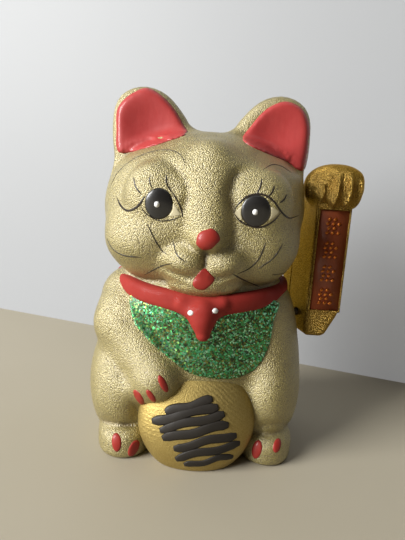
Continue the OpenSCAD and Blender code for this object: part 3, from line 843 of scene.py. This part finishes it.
# Lines of the eyes, the lashes, the brows and the whiskers: a path on the mark plane and a width.
EYE_LINES = [
    ([(-34, 135), (-31, 131), (-24.5, 127.8), (-18, 128.6), (-13, 131)], 0.55),
    ([(-18.5, 142), (-15.5, 137.5), (-13.5, 133.5), (-12.6, 130)], 0.8),
    ([(-31.5, 139.5), (-35, 134), (-39.5, 131.6), (-43, 133.5), (-45.5, 138)], 1.1),
    ([(-37.5, 148), (-36.4, 143.5), (-33.2, 139.6)], 0.7),
    ([(-29.8, 148.8), (-29.5, 145.5), (-28, 143)], 0.6),
    ([(-21.8, 150), (-21.2, 145.5), (-18, 141.2)], 0.7),
    ([(12, 134), (13.5, 137.5), (17.5, 141.8), (22, 143.6), (26.5, 143.4), (31, 140.8), (35.2, 136),
      (39.5, 133.2), (44.5, 135.2)], 1.0),
    ([(12, 134), (15.5, 130.2), (21, 128), (26.5, 128), (31.5, 131), (35.5, 136)], 0.9),
    ([(24.2, 151.5), (24, 147.5), (22.4, 143.4)], 0.8),
    ([(30.6, 148.2), (30, 145.2), (28, 142.8)], 0.8),
    ([(37, 144.6), (36, 142), (33.8, 140)], 0.8),
    ([(-13, 154.5), (-14, 158), (-17.2, 160.8), (-22, 161.6), (-27.5, 160.8), (-34.5, 158.2), (-40.5, 154.3),
      (-45.5, 149), (-48.5, 143)], 0.55),
    ([(24.5, 155.3), (28.5, 158), (33, 157.6), (38, 155)], 0.5),
]


def strokes(lines):
    return merged([stroke(figure, path, width) for path, width in lines])


piece("eye_line", strokes(EYE_LINES), LINE, "cat", "black_paint")

WHISKERS = [
    ([(-30, 126), (-26, 118.5), (-22, 113), (-18.8, 111)], 0.6),
    ([(-17, 118.5), (-14.5, 111.5), (-9.8, 107.8)], 0.6),
    ([(-49.5, 117), (-46.5, 112.2), (-40.5, 109.2), (-32, 109)], 0.8),
    ([(-16.5, 107), (-22, 105.2), (-30.5, 100)], 0.6),
    ([(29, 120.5), (26.5, 112.5), (22, 107), (16, 103.6)], 0.7),
    ([(37.5, 120.5), (33.5, 113), (26, 106.8)], 0.7),
    ([(13.5, 103.8), (20, 100.8), (28, 98)], 0.9),
    ([(33.5, 104.5), (39, 105.6), (43, 108)], 0.5),
]
piece("whisker", strokes(WHISKERS), LINE, "cat", "black_paint")

# nose and mouth
NOSE = [(-5.3, 119.2), (-4.8, 122), (-3, 124), (-0.6, 124.9), (1.6, 125.6), (4, 124.6), (5.8, 122.4),
        (6.4, 120.2), (5, 118.4), (3.4, 116.4), (1.2, 114.9), (-1.6, 114.6), (-4, 116), (-5.3, 117.4)]
MOUTH = [(-0.4, 105.8), (1.4, 104.4), (3.2, 102.6), (5.2, 100.8), (4.4, 98.6), (2.4, 96.2), (0.4, 94.6),
         (-2.4, 94.4), (-5, 95.6), (-5.8, 97.8), (-4.8, 100.4), (-2.8, 103.4)]
lips = coats(figure, (NOSE, MOUTH), 0.25, 0.7, crown=0.2)
piece("nose_and_lips", lips, RED, "cat", "red_paint", "nose_and_mouth")

# claws
CLAWS = [(-41.4, 7.2, 2.6, 5.6, 4), (-32, 4.4, 2.5, 5.4, -22), (34.4, 8.6, 2.7, 5.6, -4),
         (45, 11.6, 2.1, 4.4, -6), (-18, 42.6, 1.9, 5.2, 28), (-24, 35.2, 1.6, 4.2, 36),
         (-30.4, 34, 1.8, 5, 34)]
claws = coats(figure, [ellipse(*claw) for claw in CLAWS], 0.25, 0.7, crown=0.1)
piece("claw", claws, RED, "cat", "red_paint", "claws")


# collar and bell
def band(p):
    """The collar: a flattened ring that dips to a point at the throat."""
    height = p[2] - 92.3 - 0.10 * np.minimum(p[1], 0) + 0.06 * np.maximum(p[1], 0)
    throat = np.exp(-(p[0] / 15) ** 2) * (p[1] < 0)
    height = height + 2.2 * throat
    out = (np.sqrt((p[0] / 46.1) ** 2 + (p[1] / 40.6) ** 2) - 1) * 43
    tall = 5.0 + 0.9 * throat
    return ((np.abs(out) / 4.2) ** 2.6 + (np.abs(height) / tall) ** 2.6) ** (1 / 2.6) * 4.4 - 4.4


def drop(p):
    """The bell, with the two ends of the collar running into it."""
    d = limb(p, (0.4, -44, 84), (1.2, -45.8, 73), 6.2, 3.6)
    for side in (-1, 1):
        d = join(d, limb(p, (side * 10, -41.8, 87.5 + side * 0.6), (0.5, -44.5, 80), 3.4, 4.6), 4)
    return d


def band_and_drop(p):
    return join(band(p), drop(p), 2.5)


def shell_of(field, depth):
    """The field's solid, with what lies deeper than depth in the figure left out."""
    return lambda p: np.maximum(field(p), -figure(p) - depth)


collar = skin(shell_of(band_and_drop, 3), (-56, -53, 66), (56, 48, 106), 0.9 * FINE)
piece("collar_band", collar, COLLAR_RED, "cat", "red_enamel", "collar", "bell")
STUDS = [ellipse(-6, 82, 1.5, 1.5, n=8), ellipse(6.6, 84, 1.5, 1.5, n=8)]
piece("bell_dot", coats(band_and_drop, STUDS, 0.3, 0.5, crown=0.4), WHITE, "cat", "red_enamel")

# bib
BIB = [(-34.2, 92), (-35.6, 77.5), (-30.8, 70.5), (-24, 63.5), (-15.5, 57), (-8.5, 52), (-4, 49.3),
       (6, 47.6), (17, 47.8), (25.5, 51), (31.5, 57), (35.4, 67), (36.6, 80), (36, 92), (0, 86)]
BIB_RIM = spline(BIB, closed=True, gap=3)
BIB_THICK = 0.9
BIB_ROOT = 1.2
BIB_BACK = -12            # the bib stays in front of this
BIB_ROUGH = 0.09          # spread of the glitter's heights


def bib(p):
    """The coat of glitter on the chest."""
    coat = np.maximum(figure(p) - BIB_THICK, -figure(p) - BIB_ROOT)
    x, z = seen_flat(p)
    return np.maximum(both(coat, outline_distance(x, z, BIB_RIM), 0.8), p[1] - BIB_BACK)


verts, faces = skin(bib, (-42, -50, 44), (44, -10, 96), 0.8 * FINE)
rng = np.random.default_rng(7)
verts = verts + rng.normal(0, BIB_ROUGH, verts.shape)
piece("glitter_bib", (verts, faces), GLITTER, "cat", "green_glitter", "bib")


# coin
COIN = (1.0, -39.5, 24.0)
COIN_LEAN = -14


def coin_dome(p):
    """Distance to the coin's plain dome, and p in the coin's own axes."""
    q = leaning(p, COIN, COIN_LEAN)
    return ball((q[0], q[1] - 3, q[2]), (0, 0, 0), (31.5, 15, 30)), q


def coin(p):
    """The coin, hatched with fine grooves at the upper right and at the left."""
    dome, q = coin_dome(p)
    wander = 0.5 * np.sin(q[0] * 0.45) + 0.4 * np.sin(q[2] * 0.6 + 1)
    upper_right = np.exp(-((q[0] - 13) ** 2 + (q[2] - 13) ** 2) / 13 ** 2)
    left = np.exp(-((q[0] + 24) ** 2 + (q[2] + 3) ** 2) / 9 ** 2)
    grooves = upper_right * np.sin((0.6 * q[0] + 0.8 * q[2] + wander * 0.6) * 2 * math.pi / 1.9)
    grooves = grooves + 0.6 * left * np.sin((0.17 * q[0] + 0.98 * q[2] + wander * 0.8) * 2 * math.pi / 2.1)
    worn = np.sin(1.3 * (0.8 * q[0] - 0.6 * q[2]) + 2.1 * (0.6 * q[0] + 0.8 * q[2]))
    grooves = grooves * (0.55 + 0.45 * worn)
    return both(dome + 0.18 * grooves, FLOOR - p[2], 1.0)


relief = skin(shell_of(coin, 2), (-34, -54, -1), (33, -18, 57), 0.6 * FINE)
piece("coin_relief", relief, COIN_GOLD, "cat", "bright_gold_paint", "coin")

# Each bar's start, end and width.
BARS = [((-16, 26.6), (8.6, 35.6), 4.8), ((-22.6, 20.6), (11.6, 32.2), 5.2),
        ((-18.5, 16.4), (15.6, 27.4), 4.8), ((-16.6, 11), (18, 21.8), 5.0),
        ((-10.4, 5.6), (22.6, 16.4), 4.8), ((-9, 0), (25, 10.8), 4.8), ((-4, -4), (21.5, 3.6), 4.0)]


def coin_bars():
    """Plain wavy bars across the coin, one above the other, each climbing to the right."""
    parts = []
    for n, (start, end, width) in enumerate(BARS):
        start, end = np.array(start), np.array(end)
        along = (end - start) / np.linalg.norm(end - start)
        across = np.array((-along[1], along[0]))
        path = []
        for t in np.linspace(0, 1, 13):
            sway = 0.7 * math.sin(9 * t + 2.3 * n)
            path.append(start + (end - start) * t + across * sway)
        parts.append(stroke(lambda p: coin_dome(p)[0], path, width, lift=0.55, taper=(0.6, 0.6), gap=0.6))
    return merged(parts)


piece("coin_bars", coin_bars(), INK, "cat", "black_paint")


# ------------------------------------------------------------------- the swinging arm

arm_low, arm_high = node_box("arm_front_shell")
panel_low, panel_high = node_box("arm_panel")
ARM_X = (panel_low[0] + panel_high[0]) / 2
ARM_FRONT = panel_low[1]
ARM_SPLIT = arm_high[1]
ARM_WALL = 1.4
ARM_MIDDLE = (6, 105)               # y and z of the forearm's middle
ARM_HALF = (7.2, 17.2, 37.2)
ARM_ROUND = 2.8
PIN_BORE = 2.5                      # radius of the hole for the pin
SEAM = 0.1                          # half of the gap between the two mouldings
PAW = (ARM_X + 1.2, -3.0, 150.0)
PAW_HALF = (16.8, 19.3, 13.4)
PAW_POWER = 2.25
FLUTE_PITCH = 7                     # between the grooves of the paw's fingers
PANEL_MID = (panel_low[2] + panel_high[2]) / 2
PANEL_HALF = (panel_high - panel_low)[[0, 2]] / 2


def forearm(x, y, z):
    """A box with rounded edges that widens towards the body at its lower back, and is cut at a slant
    below its outer side. x and y start from the forearm's middle."""
    lean = 3.6 * np.clip((y + 17) / 34, 0, 1) * np.clip((142 - z) / 40, 0, 1)
    b = [np.abs(x + lean) - ARM_HALF[0] - lean, np.abs(y) - ARM_HALF[1],
         np.abs(z - ARM_MIDDLE[1]) - ARM_HALF[2]]
    within = np.minimum(np.maximum(b[0], np.maximum(b[1], b[2])), 0)
    box = np.sqrt(sum(np.maximum(v, 0) ** 2 for v in b)) + within - ARM_ROUND
    slant = x * 0.894 + (68 - z) * 0.447 - 2.9
    return both(box, slant, 3)


def arm(p):
    """The outside of the arm: forearm, fluted paw, and a raised frame round the panel's pocket."""
    x, y, z = p[0] - ARM_X, p[1] - ARM_MIDDLE[0], p[2]
    d = forearm(x, y, z)
    q = [np.abs(p[i] - PAW[i]) / r for i, r in enumerate(PAW_HALF)]
    around = (q[0] ** PAW_POWER + q[1] ** PAW_POWER + q[2] ** PAW_POWER) ** (1 / PAW_POWER)
    paw = (around - 1) * PAW_HALF[2]
    flute = (0.5 - 0.5 * np.cos((p[0] - PAW[0]) * 2 * math.pi / FLUTE_PITCH)) ** 1.6
    depth = 1.6 * (1 - flute) * np.clip((159 - z) / 10, 0, 1) * np.clip((-2 - p[1]) / 6, 0, 1)
    d = join(d, paw + depth, 1.0)
    edge = np.maximum(np.abs(x) - PANEL_HALF[0], np.abs(z - PANEL_MID) - PANEL_HALF[1])
    raised = np.maximum(np.abs(edge - 0.45) - 0.45, np.abs(p[1] - ARM_FRONT) - 0.35)
    d = join(d, raised, 0.4)
    pocket = np.maximum(edge, p[1] - ARM_FRONT - 1.0)
    return cut(d, pocket, 0.25)


def arm_wall(p):
    """The arm's hollow wall, with the hole for the pin on its inner side."""
    d = arm(p)
    pin = np.maximum(np.hypot(p[1] - PIVOT[1], p[2] - PIVOT[2]) - PIN_BORE, p[0] - ARM_X)
    return np.maximum(np.maximum(d, -d - ARM_WALL), -pin)


box_low, box_high = (ARM_X - 18, -25, 62), (ARM_X + 20, 29, 166)
front = skin(lambda p: np.maximum(arm_wall(p), p[1] - ARM_SPLIT + SEAM), box_low, box_high, 0.65 * FINE)
back = skin(lambda p: np.maximum(arm_wall(p), ARM_SPLIT + SEAM - p[1]), box_low, box_high, 0.8 * FINE)
piece("arm_front", front, PLATED, "swing_arm", "gold_plastic", "arm_front_shell")
piece("arm_back", back, PLATED, "swing_arm", "gold_plastic", "arm_back_shell")

GROUPS = 4
GROUP_PITCH = 13.4
GROUP_TOP = 8.8                     # from the panel's upper edge to the first group's middle
LOZENGE = [(1.3, 0.25), (0.2, 1.15), (-1.3, -0.25), (-0.2, -1.15)]


def panel_motif():
    """Raised lozenges down the panel, in four groups of ten."""
    verts, faces = [], []
    spots = [(3.1 * (across - 1) + 0.7 * (row % 2), 2.5 * (row - 1.5))
             for row in range(4) for across in range(3 - row % 2)]
    for group in range(GROUPS):
        z = panel_high[2] - GROUP_TOP - group * GROUP_PITCH
        for dx, dz in spots:
            start = len(verts)
            for shrink, y in ((1.0, 0.75), (1.0, 0.35), (0.55, 0.0)):
                for a, b in LOZENGE:
                    verts.append((ARM_X + dx + a * shrink, ARM_FRONT + y, z + dz + b * shrink))
            for level in (0, 4):
                for k in range(4):
                    j = (k + 1) % 4
                    low = start + level
                    faces.append((low + k, low + j, low + 4 + j, low + 4 + k))
            faces.append(tuple(start + i for i in (8, 9, 10, 11)))
            faces.append(tuple(start + i for i in (3, 2, 1, 0)))
    return np.array(verts), [f[::-1] for f in faces]


def panel_plate():
    """The panel's red ground, a thin closed plate in the pocket."""
    x0, x1 = ARM_X - PANEL_HALF[0] - 0.1, ARM_X + PANEL_HALF[0] + 0.1
    z0, z1 = panel_low[2] - 0.1, panel_high[2] + 0.1
    y0, y1 = ARM_FRONT + 0.6, ARM_FRONT + 1.1
    verts = [(x, y, z) for x in (x0, x1) for y in (y0, y1) for z in (z0, z1)]
    faces = [(0, 1, 3, 2), (4, 6, 7, 5), (0, 4, 5, 1), (2, 3, 7, 6), (0, 2, 6, 4), (1, 5, 7, 3)]
    return np.array(verts), faces


piece("panel_ground", panel_plate(), PANEL_RED, "swing_arm", "red_plastic", "arm_panel")
piece("panel_motif", panel_motif(), MOTIF_GOLD, "swing_arm", "gold_plastic")


# ------------------------------------------------------------------ the CAD's own nodes

def repaint():
    """A procedural finish for every node that keeps its CAD shape."""
    black = moulded("black_plastic", (0.018, 0.018, 0.019), 0.5)
    white = moulded("white_plastic", (0.72, 0.70, 0.63), 0.4)
    zinc = moulded("zinc_steel", (0.60, 0.61, 0.63), 0.3, metallic=1.0)
    finishes = {
        "base_plate": black, "battery_door": black, "switch_knob": black, "transistor": black,
        "pivot_frame": white, "coil_bobbin": white, "swing_lever": white,
        "frame_screws": zinc, "board_screws": zinc, "switch_body": zinc, "pin_clip": zinc,
        "pivot_pin": moulded("oiled_steel", (0.10, 0.085, 0.06), 0.5, metallic=0.7),
        "contact_spring": zinc, "contact_plate": zinc,
        "balance_weight": moulded("block_steel", (0.36, 0.36, 0.37), 0.4, metallic=1.0),
        "pendulum_magnet": moulded("ferrite", (0.12, 0.12, 0.125), 0.45, metallic=0.6),
        "circuit_board": moulded("board_green", (0.03, 0.17, 0.07), 0.3),
        "drive_coil": wound_copper(),
        "capacitor": moulded("blue_sleeve", (0.02, 0.04, 0.12), 0.3),
        "resistors": moulded("resistor_body", (0.55, 0.43, 0.28), 0.4),
        "battery_cell": moulded("cell_jacket", (0.07, 0.13, 0.22), 0.3, metallic=0.5),
        "lead_red": moulded("red_insulation", (0.50, 0.03, 0.03), 0.4),
        "lead_black": moulded("black_insulation", (0.02, 0.02, 0.02), 0.4),
        "arm_hub": moulded("grey_plastic", (0.12, 0.12, 0.13), 0.45),
    }
    for name, material in finishes.items():
        for slot in frame["nodes"][name].material_slots:
            slot.material = material


repaint()


# -------------------------------------------------------------------- stage and camera

def sheet_of(name, corners, material):
    """A flat sheet of the stage, given in the viewer's frame."""
    obj = mesh_object(name, from_view(np.array(corners)), [(0, 1, 2, 3)], material)


def one_sided(material):
    """Leaves a sheet of the stage out when it is looked at from behind."""
    nodes = material.node_tree.nodes
    surface = nodes["Material Output"].inputs["Surface"]
    behind = nodes.new("ShaderNodeNewGeometry").outputs["Backfacing"]
    clear = nodes.new("ShaderNodeBsdfTransparent").outputs[0]
    two_ways = nodes.new("ShaderNodeMixShader")
    fill(two_ways, {0: behind, 1: surface.links[0].from_socket, 2: clear})
    fill(nodes["Material Output"], {"Surface": two_ways.outputs[0]})


def stage():
    """A pale table top that runs to a pale wall, which stands at a slant behind the figurine."""
    left, right = (-1228, 559, 0), (1171, -259, 0)      # ends of the line where the wall stands
    near, high = -2600, 1500
    table = paper_backdrop("table_top", (0.33, 0.295, 0.215), (0.38, 0.34, 0.265))
    # The wall glows: painted light in place of the room's light, and its glow also lights the figurine from
    # behind.
    wall = paper_backdrop("wall", (0.20, 0.207, 0.217), (0.21, 0.217, 0.227), 0.19)
    one_sided(wall)
    one_sided(table)
    sheet_of("table_top", [(left[0], near, 0), (right[0], near, 0), right, left], table)
    sheet_of("wall", [left, right, (right[0], right[1], high), (left[0], left[1], high)], wall)


def lamp(name, at, aim, size, watts, colour):
    """A rectangular area light at a place, turned towards another. Both are in metres."""
    data = bpy.data.lights.new(name, "AREA")
    data.shape = "RECTANGLE"
    data.size, data.size_y = size
    data.energy = watts
    data.color = colour
    obj = put(name, data)
    obj.location = at
    obj.rotation_euler = (Vector(aim) - Vector(at)).to_track_quat("-Z", "Y").to_euler()


def light():
    """A window at the left, a faint lamp above and the warm room."""
    lamp("window", (-1.85, -0.98, 1.05), (0, 0, 0.1), (1.15, 1.4), 122.0, (1.0, 1.0, 0.985))
    lamp("over", (0.1, -0.1, 1.3), (0, 0.1, 0.1), (0.9, 0.9), 1.5, (1.0, 0.98, 0.95))
    world = bpy.data.worlds.new("studio")
    world.use_nodes = True
    room = world.node_tree.nodes["Background"].inputs
    room["Color"].default_value = (0.95, 0.78, 0.55, 1)
    room["Strength"].default_value = 0.028
    bpy.context.scene.world = world
    bpy.context.scene.view_settings.view_transform = "Standard"


def camera():
    """The viewer's camera: at the eye point, looking down and rolled a little."""
    data = bpy.data.cameras.new("camera")
    data.sensor_width = 36
    data.sensor_fit = "AUTO"
    data.lens = LENS
    obj = put("camera", data)
    down, roll = math.radians(LOOKING_DOWN), math.radians(ROLL)
    forward = np.array((0, math.cos(down), -math.sin(down)))
    level_up = np.array((0, math.sin(down), math.cos(down)))
    level_right = np.array((1, 0, 0))
    right = level_right * math.cos(roll) + level_up * math.sin(roll)
    up = level_up * math.cos(roll) - level_right * math.sin(roll)
    axes = Matrix(np.array([right, up, -forward]).T.tolist())
    turn = Matrix.Rotation(VIEW_TURN, 4, "Z") @ Matrix.Translation(VIEW_SHIFT * MM)
    obj.matrix_world = turn @ Matrix.Translation(EYE_POINT * MM) @ axes.to_4x4()
    bpy.context.scene.camera = obj


stage()
light()
camera()
